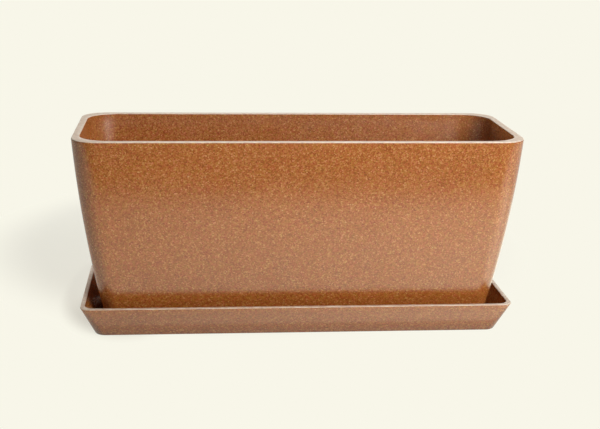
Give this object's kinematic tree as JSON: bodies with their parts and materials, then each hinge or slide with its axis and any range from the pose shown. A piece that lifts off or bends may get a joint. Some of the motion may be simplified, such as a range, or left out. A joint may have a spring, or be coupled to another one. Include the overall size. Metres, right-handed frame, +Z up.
{
  "type": "indoor herb planter",
  "caption": "Tapering rectangular planter trough with bowed walls, rounded corners and floor drain holes, standing loose in a shallow flared drip saucer.",
  "frame": {"origin": "centre of the saucer's underside, on the surface that the part stands on", "axes": "+X along the planter's length, +Y across it to the back, +Z up"},
  "size_m": [0.305, 0.115, 0.1375],
  "materials": {
    "fibre_composite": "satin, flecked with plant fibre"
  },
  "bodies": {
    "saucer": {"saucer": "fibre_composite"},
    "planter": {"planter": "fibre_composite"}
  },
  "joints": [
    {"name": "planter_lift", "type": "slide", "parent": "saucer", "child": "planter", "axis": [0, 0, 1], "range_m": [0, 0.06]}
  ]
}
